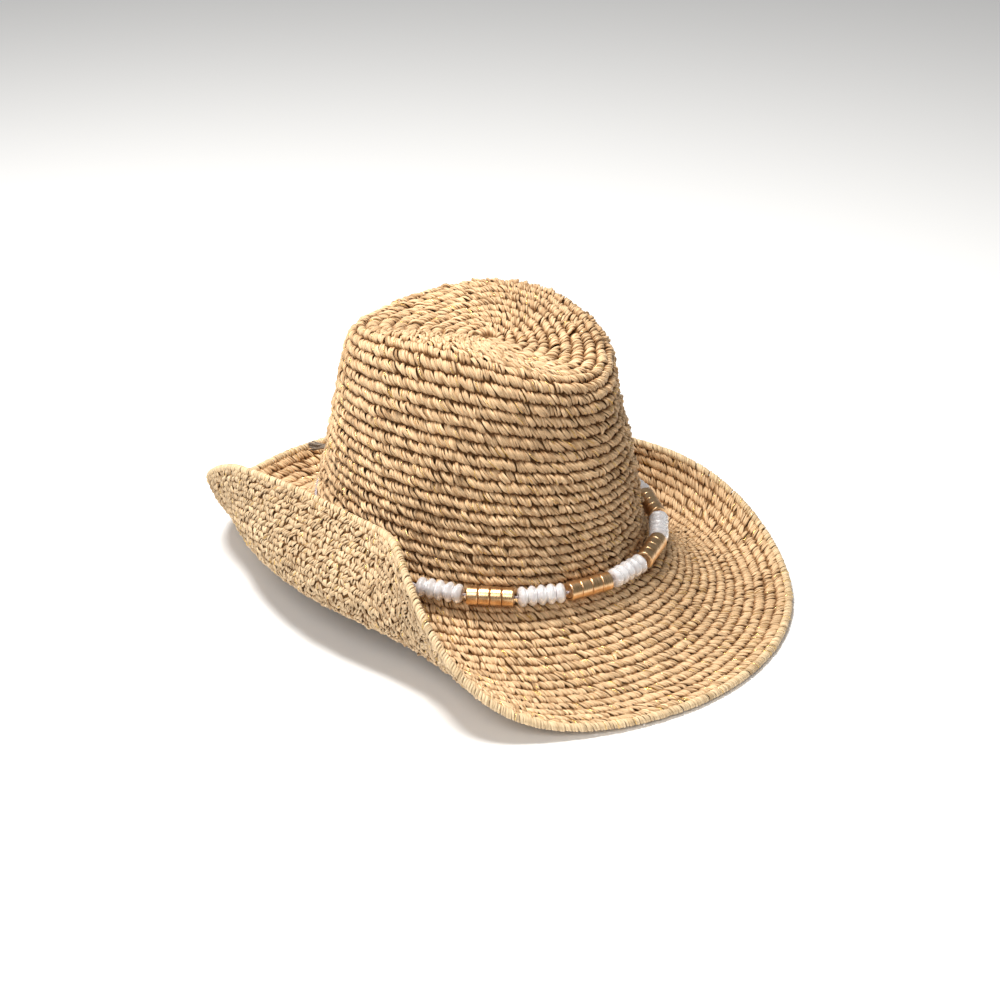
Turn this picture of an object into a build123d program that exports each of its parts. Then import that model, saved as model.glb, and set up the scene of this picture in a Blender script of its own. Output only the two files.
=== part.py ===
from build123d import *
import math
import os

os.makedirs("parts", exist_ok=True)

# ------------------------------------------------------------------ driving sizes (mm, degrees)
head_a = 86.0            # half width of the crown at its base, outside
head_b = 102.0           # half length of the crown at its base, outside
fabric_t = 4.0           # thickness of the crocheted fabric
ring_saddle = -2.8       # base line of the crown: sides lower than front and back
ring_tilt = -4.7         # base line of the crown: front lower than back
crown_h_front = 111.9    # height of the top ridge over the mean base line
crown_h_side = 127.6
crown_h_back = 113.4
ridge_half_w = 51.8      # teardrop ridge in plan
ridge_front = 74.5
ridge_back = 68.1
ridge_taper = 0.135
dent_y = -6.5            # deepest point of the teardrop dent
dent_z = 115.8
lean_front = 16.4       # how far the wall leans in under the ridge
lean_side = 23.5
lean_back = 23.3
wall_part = 0.8          # straight share of the wall below the rounded shoulder
pinch = 4.93          # soft pinch on both sides of the front

brim_w = 98.0            # brim width along the fabric, binding included
# roll of the brim at the wearer's right (R) and left (L) side
side_start = {"R": -36.6, "L": -65.9}      # slope at the crown
side_end = {"R": 140.3, "L": 103.1}        # slope at the rim
roll_from = {"R": 0.112, "L": 0.217}       # share of the width where the roll starts
roll_to = {"R": 0.734, "L": 0.848}         # and ends
roll_centre = {"R": 93.7, "L": 94.5}   # middle of the roll, from the front
roll_ahead = {"R": 31.6, "L": 35.4}    # spread of the roll towards the front
roll_behind = {"R": 62.9, "L": 41.4}   # and towards the back
roll_pow_front = 2.46
roll_pow_back = 2.19
front_start = -47.3      # slope of the brim at the crown, front
front_end = 11.3        # and at the rim
back_start = -84.1
back_end = 66.9
slope_pow = 1.33
break_len = 10.0         # length over which the fabric bends from crown to brim
binding_r = 2.3          # radius of the crocheted edge binding

band_out = 9.4           # bead centres outside the crown's base line
band_up = 6.8            # and above it
band_centre = -5.3       # middle bead group, degrees from the front
group_len = 28.4         # chord length per bead group
group_gap = 2.2          # bare cord between two groups
group_count = 9
cord_r = 0.9
bore_r = 1.0
quartz_r = 5.9
quartz_n = 5
gold_r = 5.4
gold_n = 4
knot_r = 3.2

sweat_h = 27.0           # sweatband height
sweat_t = 1.2

base_x = 1.28             # places the bounding box on the origin
base_y = 8.039
base_z = 40.061

steps = 72               # radial sections round the hat
sectors = 12
D = math.pi / 180.0


def ring_pt(phi):
    return (
        base_x + head_a * math.sin(phi),
        base_y - head_b * math.cos(phi),
        base_z + ring_saddle * math.sin(phi) ** 2 + ring_tilt * math.cos(phi),
    )


def out_dir(phi):
    x, y = math.sin(phi) / head_a, -math.cos(phi) / head_b
    n = math.hypot(x, y)
    return (x / n, y / n)


def ease(t):
    t = min(1.0, max(0.0, t))
    return t * t * (3 - 2 * t)


def wrap(phi):
    while phi > math.pi + 1e-9:
        phi -= 2 * math.pi
    while phi < -math.pi:
        phi += 2 * math.pi
    return phi


def side_of(phi):
    return "R" if wrap(phi) < 0 else "L"


def roll_weight(phi):
    side = side_of(phi)
    away = abs(wrap(phi)) / D
    d = away - roll_centre[side]
    if d < 0:
        q = math.exp(-abs(d / roll_ahead[side]) ** roll_pow_front)
    else:
        q = math.exp(-abs(d / roll_behind[side]) ** roll_pow_back)
    return q * ease(away / 30.0) * ease((180.0 - away) / 42.0)


def slope(u, phi):
    t = u / brim_w
    q = roll_weight(phi)
    side = side_of(phi)
    m = (1 + math.cos(phi)) / 2
    p0 = m * front_start + (1 - m) * back_start
    p1 = m * front_end + (1 - m) * back_end
    s = ease((t - roll_from[side]) / (roll_to[side] - roll_from[side]))
    v = (1 - q) * (p0 + (p1 - p0) * t ** slope_pow)
    v += q * (side_start[side] + (side_end[side] - side_start[side]) * s)
    return v * D * ease(u / break_len)


def brim_curve(phi, u_end, n=120):
    """Middle line of the brim in the radial plane: list of (u, r, z, slope)."""
    out = [(0.0, 0.0, 0.0, 0.0)]
    r = z = 0.0
    du = u_end / n
    for i in range(n):
        a = slope((i + 0.5) * du, phi)
        r += math.cos(a) * du
        z += math.sin(a) * du
        out.append(((i + 1) * du, r, z, slope((i + 1) * du, phi)))
    return out


def ridge_pt(phi):
    c, s = math.cos(phi), math.sin(phi)
    x = ridge_half_w * s * (1 - ridge_taper * c)
    y = -ridge_front * c if c > 0 else -ridge_back * c
    z = (
        crown_h_front * max(c, 0.0) ** 2
        + crown_h_back * max(-c, 0.0) ** 2
        + crown_h_side * s * s
    )
    return (base_x + x, base_y + y, base_z + z)


def crown_plane(phi):
    """Vertical plane through a base point and its ridge point; x runs inwards."""
    r, g = ring_pt(phi), ridge_pt(phi)
    dx, dy = g[0] - r[0], g[1] - r[1]
    length = math.hypot(dx, dy)
    dx, dy = dx / length, dy / length
    return Plane(origin=r, x_dir=(dx, dy, 0), z_dir=(dy, -dx, 0)), length, g[2] - r[2]


def radial_plane(phi):
    """Vertical plane square to the base line; x runs outwards."""
    n = out_dir(phi)
    return Plane(origin=ring_pt(phi), x_dir=(n[0], n[1], 0), z_dir=(n[1], -n[0], 0))


def crown_lean(phi):
    c = math.cos(phi)
    return lean_front * max(c, 0.0) ** 2 + lean_back * max(-c, 0.0) ** 2 + lean_side * math.sin(phi) ** 2


def crown_curve(phi):
    """Outside of the crown in its plane: list of (inwards, up, tangent angle)."""
    plane, length, rise = crown_plane(phi)
    lean = crown_lean(phi)
    fx, fz = lean * wall_part, rise * wall_part
    amp = pinch * math.exp(-(((abs(wrap(phi)) / D) - 28) / 22) ** 2)
    pts = []
    for i in range(9):
        t = i / 8
        pts.append([fx * t, fz * t, 0.75 * t])
    for i in range(1, 9):
        k = i / 8
        x = (1 - k) ** 2 * fx + 2 * k * (1 - k) * lean + k * k * length
        z = (1 - k) ** 2 * fz + 2 * k * (1 - k) * rise + k * k * rise
        pts.append([x, z, 0.75 + 0.25 * k])
    for p in pts:
        p[0] += amp * math.exp(-(((p[2] - 0.72) / 0.16) ** 2))
    out = []
    for i, p in enumerate(pts):
        a, b = pts[max(0, i - 1)], pts[min(len(pts) - 1, i + 1)]
        out.append((p[0], p[1], math.atan2(b[1] - a[1], b[0] - a[0])))
    out[-1] = (out[-1][0], out[-1][1], 0.0)
    return out


def phis(first, last):
    return [2 * math.pi * i / steps for i in range(first, last + 1)]


def sector_phis():
    n = steps // sectors
    return [phis(i * n, (i + 1) * n) for i in range(sectors)]


# ------------------------------------------------------------------ crown side
with BuildPart() as crown_side:
    for sector in sector_phis():
        for phi in sector:
            plane = crown_plane(phi)[0]
            curve = crown_curve(phi)
            lift = fabric_t / 2 + 0.05
            lean0 = curve[1][0] / curve[1][1]
            outer = [(lift * lean0, lift)] + [(p[0], p[1]) for p in curve[1:]]
            inner = [(lift * lean0 + fabric_t, lift)]
            for p in curve[1:]:
                inner.append((p[0] + fabric_t * math.sin(p[2]), p[1] - fabric_t * math.cos(p[2])))
            with BuildSketch(plane):
                with BuildLine():
                    Spline(*outer)
                    Line(outer[-1], inner[-1])
                    Spline(*reversed(inner))
                    Line(inner[0], outer[0])
                make_face()
        loft()
crown_side.part.label = "crown_side"
export_step(crown_side.part, "parts/crown_side.step")


# ------------------------------------------------------------------ crown tip with the teardrop dent
def tip_height(x, y):
    """Top of the crown over a plan point, y measured from the crown's own middle."""
    ax = abs(x)
    dy = y - dent_y

    def ray(phi):
        gx, gy, gz = ridge_pt(phi)
        return gx - base_x, gy - base_y - dent_y, gz - base_z

    lo, hi = 0.0, math.pi
    for _ in range(50):
        mid = (lo + hi) / 2
        gx, gy, _z = ray(mid)
        if gx * dy - gy * ax < 0:
            hi = mid
        else:
            lo = mid
    gx, gy, gz = ray((lo + hi) / 2)
    k = math.hypot(ax, dy) / math.hypot(gx, gy)
    return base_z + dent_z + (gz - dent_z) * ease(k)


def tip_grid(nx, ny, margin):
    rows = []
    for i in range(nx + 1):
        x = -(ridge_half_w + margin) + 2 * (ridge_half_w + margin) * i / nx
        row = []
        for j in range(ny + 1):
            y = -(ridge_front + margin) + (ridge_front + ridge_back + 2 * margin) * j / ny
            row.append(Vector(base_x + x, base_y + y, tip_height(x, y)))
        rows.append(row)
    return rows


tip_gap = 0.1
with BuildPart() as crown_tip:
    sheet = Face.make_surface_from_array_of_points(tip_grid(24, 28, 6), tol=0.05)
    extrude(to_extrude=sheet, amount=fabric_t, dir=(0, 0, -1))
    with BuildSketch(Plane.XY):
        with BuildLine():
            outline = []
            for phi in phis(0, steps - 1):
                g = ridge_pt(phi)
                vx, vy = g[0] - base_x, g[1] - base_y - dent_y
                n = math.hypot(vx, vy)
                outline.append((base_x + vx * (1 - tip_gap / n), base_y + dent_y + vy * (1 - tip_gap / n)))
            Spline(*outline, periodic=True)
        make_face()
    extrude(amount=400, mode=Mode.INTERSECT)
crown_tip.part.label = "crown_tip"
export_step(crown_tip.part, "parts/crown_tip.step")

# ------------------------------------------------------------------ brim
brim_end = brim_w - 2 * binding_r - 0.05
with BuildPart() as brim:
    for sector in sector_phis():
        for phi in sector:
            curve = brim_curve(phi, brim_end)
            top = [(-fabric_t, fabric_t / 2)]
            low = [(-fabric_t, -fabric_t / 2)]
            for i in range(0, len(curve), 8):
                u, r, z, a = curve[i]
                top.append((r - math.sin(a) * fabric_t / 2, z + math.cos(a) * fabric_t / 2))
                low.append((r + math.sin(a) * fabric_t / 2, z - math.cos(a) * fabric_t / 2))
            with BuildSketch(radial_plane(phi)):
                with BuildLine():
                    Spline(*top)
                    Line(top[-1], low[-1])
                    Spline(*reversed(low))
                    Line(low[0], top[0])
                make_face()
        loft()
brim.part.label = "brim"
export_step(brim.part, "parts/brim.step")

# ------------------------------------------------------------------ crocheted edge binding round the rim
with BuildPart() as brim_edge_binding:
    for sector in sector_phis():
        for phi in sector:
            u, r, z, a = brim_curve(phi, brim_w - binding_r)[-1]
            with BuildSketch(radial_plane(phi)):
                with Locations((r, z)):
                    Circle(binding_r)
        loft()
brim_edge_binding.part.label = "brim_edge_binding"
export_step(brim_edge_binding.part, "parts/brim_edge_binding.step")


# ------------------------------------------------------------------ sweatband inside the crown's base
def sweat_in(phi, h):
    """Outer face of the sweatband, inwards from the base line, at height h."""
    curve = crown_curve(phi)
    return fabric_t + 0.5 + curve[1][0] / curve[1][1] * max(h, 0.0)


with BuildPart() as sweatband:
    for sector in sector_phis():
        for phi in sector:
            low, high = -1.5, sweat_h - 1.5
            pts = [
                (sweat_in(phi, low), low),
                (sweat_in(phi, high), high),
                (sweat_in(phi, high) + sweat_t, high),
                (sweat_in(phi, low) + sweat_t, low),
            ]
            with BuildSketch(crown_plane(phi)[0]):
                with BuildLine():
                    Polyline(*pts, close=True)
                make_face()
        loft()
sweatband.part.label = "sweatband"
export_step(sweatband.part, "parts/sweatband.step")

# thread row that holds the sweatband along its lower edge
stitch_r = 0.35
with BuildPart() as sweatband_stitching:
    for sector in sector_phis():
        for phi in sector:
            with BuildSketch(crown_plane(phi)[0]):
                with Locations((sweat_in(phi, 3.0) + sweat_t + stitch_r + 0.05, 3.0)):
                    Circle(stitch_r)
        loft()
sweatband_stitching.part.label = "sweatband_stitching"
export_step(sweatband_stitching.part, "parts/sweatband_stitching.step")


# ------------------------------------------------------------------ beaded hatband
def band_pt(phi, out=band_out, up=band_up):
    r, n = ring_pt(phi), out_dir(phi)
    return Vector(r[0] + n[0] * out, r[1] + n[1] * out, r[2] + up)


def next_phi(phi, chord, sign):
    lo, hi = 0.0, 40 * D
    start = band_pt(phi)
    for _ in range(50):
        mid = (lo + hi) / 2
        if (band_pt(phi + sign * mid) - start).length < chord:
            lo = mid
        else:
            hi = mid
    return phi + sign * (lo + hi) / 2


def band_corners():
    """Angles of the corners between the straight bead groups."""
    c = band_centre * D
    lo, hi = 0.0, 40 * D
    for _ in range(50):
        mid = (lo + hi) / 2
        if (band_pt(c + mid) - band_pt(c - mid)).length < group_len:
            lo = mid
        else:
            hi = mid
    right, left = [c - lo], [c + lo]
    for _ in range(group_count // 2):
        right.append(next_phi(right[-1], group_len, -1))
        left.append(next_phi(left[-1], group_len, 1))
    return list(reversed(right)) + left


corner_phis = band_corners()
corners = [band_pt(p) for p in corner_phis]


def group_frame(i):
    a, b = corners[i], corners[i + 1]
    e = (b - a).normalized()
    side = e.cross(Vector(0, 0, 1)).normalized()
    return Plane(origin=(a + b) * 0.5, x_dir=e, z_dir=side), e


def bead_name(i):
    kind = "quartz_beads_" if i % 2 == 0 else "gold_beads_"
    return kind + str(i // 2 + 1)


bead_parts = {}
for i in range(group_count):
    frame, e = group_frame(i)
    quartz = i % 2 == 0
    n = quartz_n if quartz else gold_n
    outer = quartz_r if quartz else gold_r
    pitch = (group_len - group_gap) / n
    with BuildPart() as beads:
        with BuildSketch(frame):
            for k in range(n):
                x = (k - (n - 1) / 2) * pitch
                with Locations((x, (outer + bore_r) / 2)):
                    RectangleRounded(pitch - 0.12, outer - bore_r, 1.9 if quartz else 0.7)
        revolve(axis=Axis(tuple(frame.origin), tuple(e)))
    beads.part.label = bead_name(i)
    export_step(beads.part, "parts/" + bead_name(i) + ".step")
    bead_parts[bead_name(i)] = beads.part

# cord of the hatband: straight through the bead groups, close to the crown behind
back_pts = []
first_back = corner_phis[-1] / D + 17
last_back = corner_phis[0] / D + 360 - 17
back_n = 18
for k in range(back_n + 1):
    deg = first_back + (last_back - first_back) * k / back_n
    back_pts.append(band_pt(deg * D, 0.9, band_up))
knot_at = band_pt(180 * D, knot_r + 0.9, band_up)
left_run = [p for p in back_pts if p.X - base_x > knot_r + 4]
right_run = [p for p in back_pts if p.X - base_x < -(knot_r + 4)]
knot_left = knot_at + Vector(knot_r + 0.15, 0, 0)
knot_right = knot_at + Vector(-(knot_r + 0.15), 0, 0)
route = [knot_right] + right_run + corners + left_run + [knot_left]
with BuildPart() as hatband_cord:
    with BuildLine() as path:
        FilletPolyline(*route, radius=4.0)
    start = path.wires()[0]
    with BuildSketch(Plane(origin=start @ 0, z_dir=start % 0)):
        Circle(cord_r)
    sweep(path=start)
hatband_cord.part.label = "hatband_cord"
export_step(hatband_cord.part, "parts/hatband_cord.step")

with BuildPart() as hatband_knot:
    with Locations(knot_at):
        Sphere(knot_r)
hatband_knot.part.label = "hatband_knot"
export_step(hatband_knot.part, "parts/hatband_knot.step")

tail_len = 9.0
for name, sx in (("hatband_tail_left", 1), ("hatband_tail_right", -1)):
    d0 = Vector(0.55 * sx, 0.75, 0.25).normalized()
    a = knot_at + d0 * (knot_r + 0.1)
    b = a + d0 * (tail_len * 0.5)
    c = b + Vector(0.75 * sx, 0.45, -0.35).normalized() * (tail_len * 0.5)
    with BuildPart() as tail:
        with BuildLine() as tail_path:
            FilletPolyline(a, b, c, radius=3.0)
        wire = tail_path.wires()[0]
        with BuildSketch(Plane(origin=wire @ 0, z_dir=wire % 0)):
            Circle(cord_r * 0.9)
        sweep(path=wire)
    tail.part.label = name
    export_step(tail.part, "parts/" + name + ".step")
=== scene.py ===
import bpy
import math
import numpy as np
from mathutils import Matrix, Vector


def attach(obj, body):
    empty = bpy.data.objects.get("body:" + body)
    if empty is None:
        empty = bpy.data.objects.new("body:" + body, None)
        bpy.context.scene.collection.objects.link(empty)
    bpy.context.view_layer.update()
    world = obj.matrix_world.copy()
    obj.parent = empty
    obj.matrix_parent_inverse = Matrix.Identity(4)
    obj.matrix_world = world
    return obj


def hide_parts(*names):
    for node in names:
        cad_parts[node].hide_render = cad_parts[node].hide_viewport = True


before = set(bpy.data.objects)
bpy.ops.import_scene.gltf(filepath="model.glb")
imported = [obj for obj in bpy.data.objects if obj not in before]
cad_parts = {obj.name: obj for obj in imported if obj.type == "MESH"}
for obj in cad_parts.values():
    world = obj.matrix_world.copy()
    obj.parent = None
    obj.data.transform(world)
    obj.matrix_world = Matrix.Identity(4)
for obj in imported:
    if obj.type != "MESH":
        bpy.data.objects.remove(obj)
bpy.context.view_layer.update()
D = math.pi / 180.0
MM = 0.001

# ---------------------------------------------------------------- the hat's own numbers (mm, degrees), as in the CAD
Q = dict(a=86.0, b=102.0, zr_s=-2.8, zr_f=-4.7, H_f=111.9, H_s=127.6, H_b=113.4, c_f=16.4, c_s=23.5, c_b=23.3, yo=-6.5, zfloor=115.8, rx=51.8, ry_f=74.5, ry_b=68.1, taper=0.135, pinch=4.93, W=98.0, p0n=-36.6, p0r=-65.9, p1n=140.3, p1r=103.1, t0n=0.112, t0f=0.217, t1n=0.734, t1f=0.848, phcn=93.7, phcf=94.5, sgfn=31.6, sgff=35.4, sgbn=62.9, sgbf=41.4, pwf=2.46, pwb=2.19, p0f=-47.3, p1f=11.3, p0b=-84.1, p1b=66.9, gam=1.33, az=-53.95, el=27.67, dist=1150.0, f=1970.2, tx=12.24, tz=-27.23)
BASE = np.array((1.28, 8.039, 40.061))
BIND_R = 2.3
NPH = 720
PH = np.linspace(-math.pi, math.pi, NPH + 1)


def smooth(t):
    t = np.clip(t, 0, 1)
    return t * t * (3 - 2 * t)


def ring(phi):
    z = Q["zr_s"] * np.sin(phi) ** 2 + Q["zr_f"] * np.cos(phi)
    return np.stack([Q["a"] * np.sin(phi), -Q["b"] * np.cos(phi), z], -1) + BASE


def outward(phi):
    n = np.stack([np.sin(phi) / Q["a"], -np.cos(phi) / Q["b"], 0 * phi], -1)
    return n / np.linalg.norm(n, axis=-1, keepdims=True)


def slope(u, phi):
    near = phi < 0
    t = u / Q["W"]
    away = np.abs(phi) / D
    d = away - np.where(near, Q["phcn"], Q["phcf"])
    ahead = np.exp(-np.abs(d / np.where(near, Q["sgfn"], Q["sgff"])) ** Q["pwf"])
    behind = np.exp(-np.abs(d / np.where(near, Q["sgbn"], Q["sgbf"])) ** Q["pwb"])
    q = np.where(d < 0, ahead, behind) * smooth(away / 30.0) * smooth((180.0 - away) / 42.0)
    m = (1 + np.cos(phi)) / 2
    p0 = m * Q["p0f"] + (1 - m) * Q["p0b"]
    p1 = m * Q["p1f"] + (1 - m) * Q["p1b"]
    w = lambda a, b: np.where(near, Q[a], Q[b])
    s = smooth((t - w("t0n", "t0f")) / (w("t1n", "t1f") - w("t0n", "t0f")))
    v = (1 - q) * (p0 + (p1 - p0) * t ** Q["gam"]) + q * (w("p0n", "p0r") + (w("p1n", "p1r") - w("p0n", "p0r")) * s)
    return v * D * smooth(u / 10.0)


def ridge(phi):
    c, s = np.cos(phi), np.sin(phi)
    x = Q["rx"] * s * (1 - Q["taper"] * c)
    y = np.where(c > 0, -Q["ry_f"] * c, -Q["ry_b"] * c)
    z = Q["H_f"] * np.clip(c, 0, 1) ** 2 + Q["H_b"] * np.clip(-c, 0, 1) ** 2 + Q["H_s"] * s * s
    return np.stack([x, y, z], -1) + BASE


def blur_ring(g, n):
    """Smooths a value round the hat over 2n+1 samples."""
    c = g[:-1]
    k = np.hanning(2 * n + 3)[1:-1]
    k = k / k.sum()
    out = sum(k[i] * np.roll(c, i - n, axis=0) for i in range(2 * n + 1))
    return np.concatenate([out, out[:1]], 0)


class Surface:
    """A grid of points round the hat, its outward side, and points at a height over it."""

    def __init__(self, pts, flip=1.0):
        self.p = pts
        c = pts[:-1]
        du = np.roll(c, -1, 0) - np.roll(c, 1, 0)
        du = np.concatenate([du, du[:1]], 0)
        dv = np.gradient(pts, axis=1)
        n = np.cross(du, dv) * flip
        n /= np.linalg.norm(n, axis=-1, keepdims=True) + 1e-12
        self.n = n
        self.nv = pts.shape[1] - 1

    def look(self, grid, phi, v):
        a = (phi + math.pi) / (2 * math.pi) % 1.0 * NPH
        i = np.minimum(a.astype(int), NPH - 1)
        fa = (a - i)[..., None]
        b = np.clip(v, 0, 1) * self.nv
        j = np.minimum(b.astype(int), self.nv - 1)
        fb = (b - j)[..., None]
        return (
            grid[i, j] * (1 - fa) * (1 - fb)
            + grid[i + 1, j] * fa * (1 - fb)
            + grid[i, j + 1] * (1 - fa) * fb
            + grid[i + 1, j + 1] * fa * fb
        )

    def at(self, phi, v, h):
        n = self.look(self.n, phi, v)
        n /= np.linalg.norm(n, axis=-1, keepdims=True) + 1e-12
        return self.look(self.p, phi, v) + n * h[..., None], n

    def row_length(self, v):
        p = self.look(self.p, PH, np.full(len(PH), v))
        d = np.linalg.norm(np.diff(p, axis=0), axis=1)
        return np.concatenate([[0], np.cumsum(d)])


def brim_grid():
    u = np.linspace(0, Q["W"] - BIND_R, 241)
    um = (u[1:] + u[:-1]) / 2
    du = u[1] - u[0]
    ps = slope(um[None, :], PH[:, None])
    zero = np.zeros((len(PH), 1))
    r = np.concatenate([zero, np.cumsum(np.cos(ps) * du, 1)], 1)
    z = np.concatenate([zero, np.cumsum(np.sin(ps) * du, 1)], 1)
    base, n = ring(PH), outward(PH)
    g = base[:, None, :] + n[:, None, :] * r[..., None]
    g[..., 2] = base[:, None, 2] + z
    return g


def crown_grid():
    base, top = ring(PH), ridge(PH)
    c, s = np.cos(PH), np.sin(PH)
    d = top[:, :2] - base[:, :2]
    length = np.linalg.norm(d, axis=1)
    d = d / length[:, None]
    rise = top[:, 2] - base[:, 2]
    lean = Q["c_f"] * np.clip(c, 0, 1) ** 2 + Q["c_b"] * np.clip(-c, 0, 1) ** 2 + Q["c_s"] * s * s
    k = np.linspace(0, 1, 121)[None, :]
    part = 0.8
    fx, fz = (lean * part)[:, None], (rise * part)[:, None]
    t0 = np.clip(k / 0.75, 0, 1)
    t1 = np.clip((k - 0.75) / 0.25, 0, 1)
    x = np.where(k < 0.75, fx * t0, (1 - t1) ** 2 * fx + 2 * t1 * (1 - t1) * lean[:, None] + t1 * t1 * length[:, None])
    z = np.where(k < 0.75, fz * t0, (1 - t1) ** 2 * fz + 2 * t1 * (1 - t1) * rise[:, None] + t1 * t1 * rise[:, None])
    amp = Q["pinch"] * np.exp(-(((np.abs(PH) / D) - 28) / 22) ** 2)
    x = x + amp[:, None] * np.exp(-(((k - 0.72) / 0.16) ** 2))
    g = np.empty((len(PH), 121, 3))
    g[..., 0] = base[:, None, 0] + d[:, None, 0] * x
    g[..., 1] = base[:, None, 1] + d[:, None, 1] * x
    g[..., 2] = base[:, None, 2] + z
    step = np.linalg.norm(np.diff(g, axis=1), axis=-1)
    arc = np.concatenate([np.zeros((len(PH), 1)), np.cumsum(step, 1)], 1)
    arc /= arc[:, -1:]
    v = np.linspace(0, 1, 161)
    out = np.empty((len(PH), 161, 3))
    for i in range(len(PH)):
        for a in range(3):
            out[i, :, a] = np.interp(v, arc[i], g[i, :, a])
    return out


def tip_grid():
    g = ridge(PH)
    k = np.linspace(1, 0.004, 121)[None, :]
    cx, cy = BASE[0], BASE[1] + Q["yo"]
    out = np.empty((len(PH), 121, 3))
    out[..., 0] = cx + (g[:, None, 0] - cx) * k
    out[..., 1] = cy + (g[:, None, 1] - cy) * k
    zc = BASE[2] + Q["zfloor"]
    out[..., 2] = zc + (g[:, None, 2] - zc) * smooth(k)
    return out


brim_mid = Surface(brim_grid(), 1.0)
crown_out = Surface(crown_grid(), 1.0)
tip_top = Surface(tip_grid(), 1.0)
for sf, want in ((brim_mid, (0, 0, 1)), (crown_out, None), (tip_top, (0, 0, 1))):
    i = NPH // 2
    n = sf.n[i, 20]
    ref = np.array(want) if want else np.array([0, -1, 0])
    if n @ ref < 0:
        sf.n = -sf.n


# ---------------------------------------------------------------- materials
def material(name):
    m = bpy.data.materials.new(name)
    m.use_nodes = True
    nt = m.node_tree
    bsdf = next(n for n in nt.nodes if n.type == "BSDF_PRINCIPLED")
    return m, nt, bsdf


def link(nt, a, b):
    nt.links.new(a, b)


def node(nt, kind, **inputs):
    n = nt.nodes.new(kind)
    for k, v in inputs.items():
        n.inputs[k.replace("_", " ")].default_value = v
    return n


def ramp(nt, fac, stops):
    r = nt.nodes.new("ShaderNodeValToRGB")
    el = r.color_ramp.elements
    while len(el) < len(stops):
        el.new(0.5)
    for e, (p, c) in zip(el, stops):
        e.position = p
        e.color = (*c, 1)
    link(nt, fac, r.inputs["Fac"])
    return r.outputs["Color"]


def mix(nt, a, b, fac, mode="MIX"):
    m = nt.nodes.new("ShaderNodeMix")
    m.data_type = "RGBA"
    m.blend_type = mode
    for sock, val in ((m.inputs[0], fac), (m.inputs[6], a), (m.inputs[7], b)):
        if isinstance(val, bpy.types.NodeSocket):
            link(nt, val, sock)
        elif isinstance(val, tuple):
            sock.default_value = (*val, 1)
        else:
            sock.default_value = val
    return m.outputs[2]


def mathn(nt, op, a, b=0.0):
    m = nt.nodes.new("ShaderNodeMath")
    m.operation = op
    for sock, val in ((m.inputs[0], a), (m.inputs[1], b)):
        if isinstance(val, bpy.types.NodeSocket):
            link(nt, val, sock)
        else:
            sock.default_value = val
    return m.outputs[0]


# the last colour argument is the painted shade at the strand ends, where they dip into the gaps
def raffia(name, light=(0.80, 0.57, 0.34), mid=(0.66, 0.445, 0.245), dark=(0.48, 0.30, 0.15), gap_shade_colour=(0.19, 0.095, 0.042), patch=0.35):
    m, nt, bsdf = material(name)
    rnd = nt.nodes.new("ShaderNodeAttribute")
    rnd.attribute_name = "strand_random"
    lift = nt.nodes.new("ShaderNodeAttribute")
    lift.attribute_name = "strand_lift"
    uv = nt.nodes.new("ShaderNodeUVMap")
    uv.uv_map = "Strand"
    tc = nt.nodes.new("ShaderNodeTexCoord")
    # one tone for each strand
    tone = ramp(nt, rnd.outputs["Fac"], [(0.0, dark), (0.14, mid), (0.5, light), (0.86, tuple(min(1, c * 1.2) for c in light)), (1.0, mid)])
    # fibres along the strand
    mp = nt.nodes.new("ShaderNodeMapping")
    mp.inputs["Scale"].default_value = (7.0, 0.9, 1.0)
    link(nt, uv.outputs["UV"], mp.inputs["Vector"])
    fib = nt.nodes.new("ShaderNodeTexNoise")
    fib.noise_dimensions = "4D"
    fib.inputs["Scale"].default_value = 1.0
    fib.inputs["Detail"].default_value = 2.0
    fib.inputs["Roughness"].default_value = 0.65
    link(nt, mp.outputs["Vector"], fib.inputs["Vector"])
    link(nt, mathn(nt, "MULTIPLY", rnd.outputs["Fac"], 91.7), fib.inputs["W"])
    fibtone = ramp(nt, fib.outputs["Fac"], [(0.30, (0.45, 0.38, 0.31)), (0.44, (0.86, 0.83, 0.79)), (0.56, (1.0, 0.99, 0.98)), (0.70, (1.30, 1.33, 1.35))])
    col = mix(nt, tone, fibtone, 0.9, "MULTIPLY")
    # browner patches over the hat
    big = nt.nodes.new("ShaderNodeTexNoise")
    big.inputs["Scale"].default_value = 16.0
    big.inputs["Detail"].default_value = 3.0
    link(nt, tc.outputs["Object"], big.inputs["Vector"])
    bigf = ramp(nt, big.outputs["Fac"], [(0.42, (0, 0, 0)), (0.68, (patch, patch, patch))])
    col = mix(nt, col, (0.48, 0.30, 0.155), bigf, "MIX")
    # painted shade: each strand darkens towards its ends, where it dips between its neighbours into the shaded gaps
    painted_gap_shade = ramp(nt, lift.outputs["Fac"], [(0.0, gap_shade_colour), (0.42, (0.52, 0.375, 0.24)), (0.80, (1, 1, 1))])
    col = mix(nt, col, painted_gap_shade, 1.0, "MULTIPLY")
    link(nt, col, bsdf.inputs["Base Color"])
    bsdf.inputs["Roughness"].default_value = 0.62
    bsdf.inputs["Specular IOR Level"].default_value = 0.32
    bsdf.inputs["Sheen Weight"].default_value = 0.06
    bsdf.inputs["Sheen Roughness"].default_value = 0.5
    bump = nt.nodes.new("ShaderNodeBump")
    bump.inputs["Strength"].default_value = 0.9
    bump.inputs["Distance"].default_value = 0.0006
    link(nt, fib.outputs["Fac"], bump.inputs["Height"])
    link(nt, bump.outputs["Normal"], bsdf.inputs["Normal"])
    return m


# A dark sheet under the wraps: it closes the fabric against see-through light, and its dark brown colour is painted
# shade in the gaps between wraps.
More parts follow.
